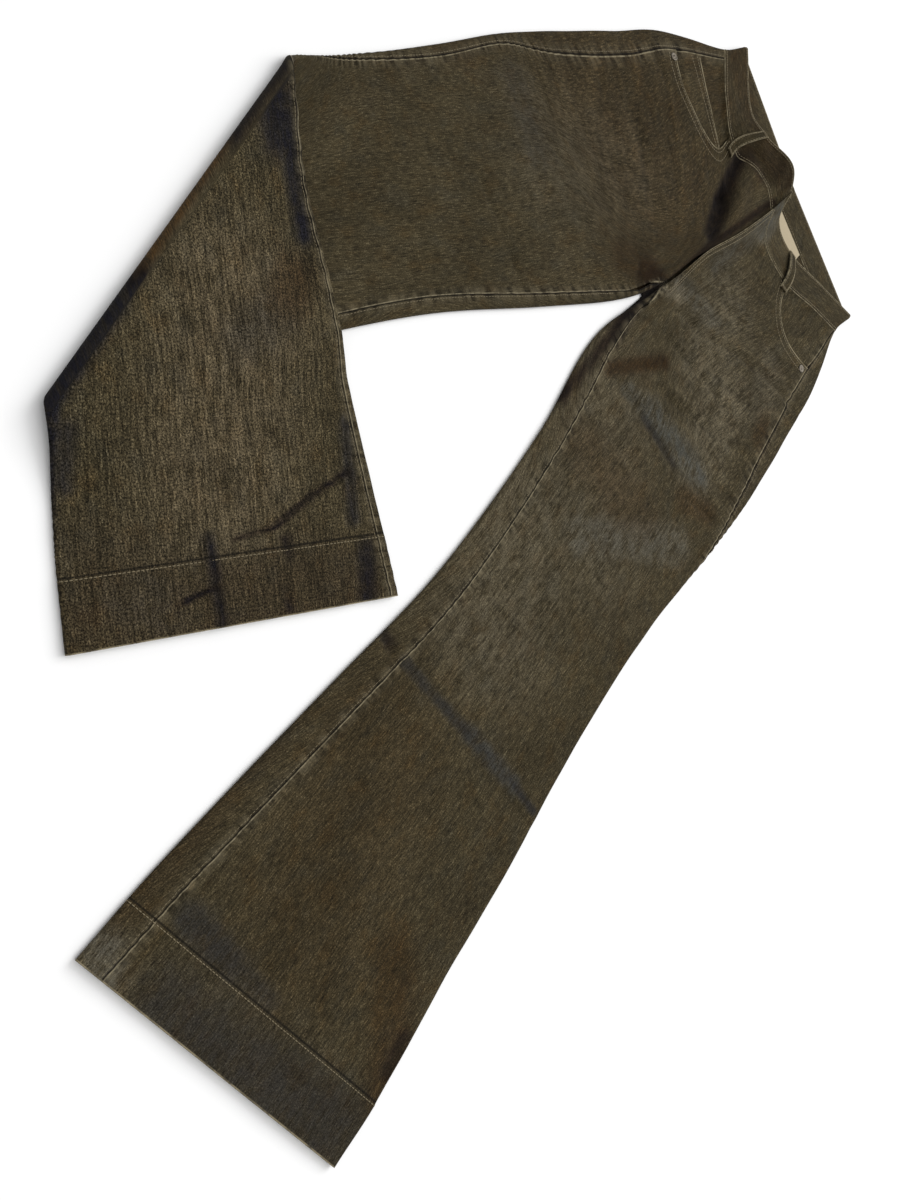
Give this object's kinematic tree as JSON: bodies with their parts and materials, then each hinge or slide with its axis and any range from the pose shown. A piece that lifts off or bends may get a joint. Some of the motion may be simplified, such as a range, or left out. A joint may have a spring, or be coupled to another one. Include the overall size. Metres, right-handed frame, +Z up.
{
  "type": "bootcut jeans",
  "caption": "Bootcut denim jeans laid flat face up, with a leg folded over at the knee: waistband, belt loops, scoop front pockets with rivets, and turned-up hems.",
  "frame": {"origin": "middle of the plan of the laid-out jeans, on the surface that they rest on", "axes": "+Z up out of the surface; +Y from the hems towards the waist; +X towards the wearer's left leg, which is the straight one; the jeans lie face up"},
  "size_m": [1.0319, 1.035, 0.0378],
  "materials": {
    "denim": "dark olive brown twill, faded blue grey on the thighs",
    "denim inside": "inner face of the twill",
    "pocket denim": "dark olive brown twill",
    "rivet metal": "dull pewter coloured plating",
    "label cloth": "plain cream woven tape"
  },
  "bodies": {
    "root": {"front_right": "denim", "front_left": "denim", "back_right": "denim", "back_left": "denim", "waistband": "denim", "hem_right": "denim inside", "hem_left": "denim inside", "pocket_facing_right": "pocket denim", "pocket_facing_left": "pocket denim", "coin_pocket_right": "pocket denim", "belt_loop_right": "denim", "belt_loop_left": "denim", "rivet_right": "rivet metal", "rivet_left": "rivet metal", "label": "label cloth"}
  },
  "joints": []
}
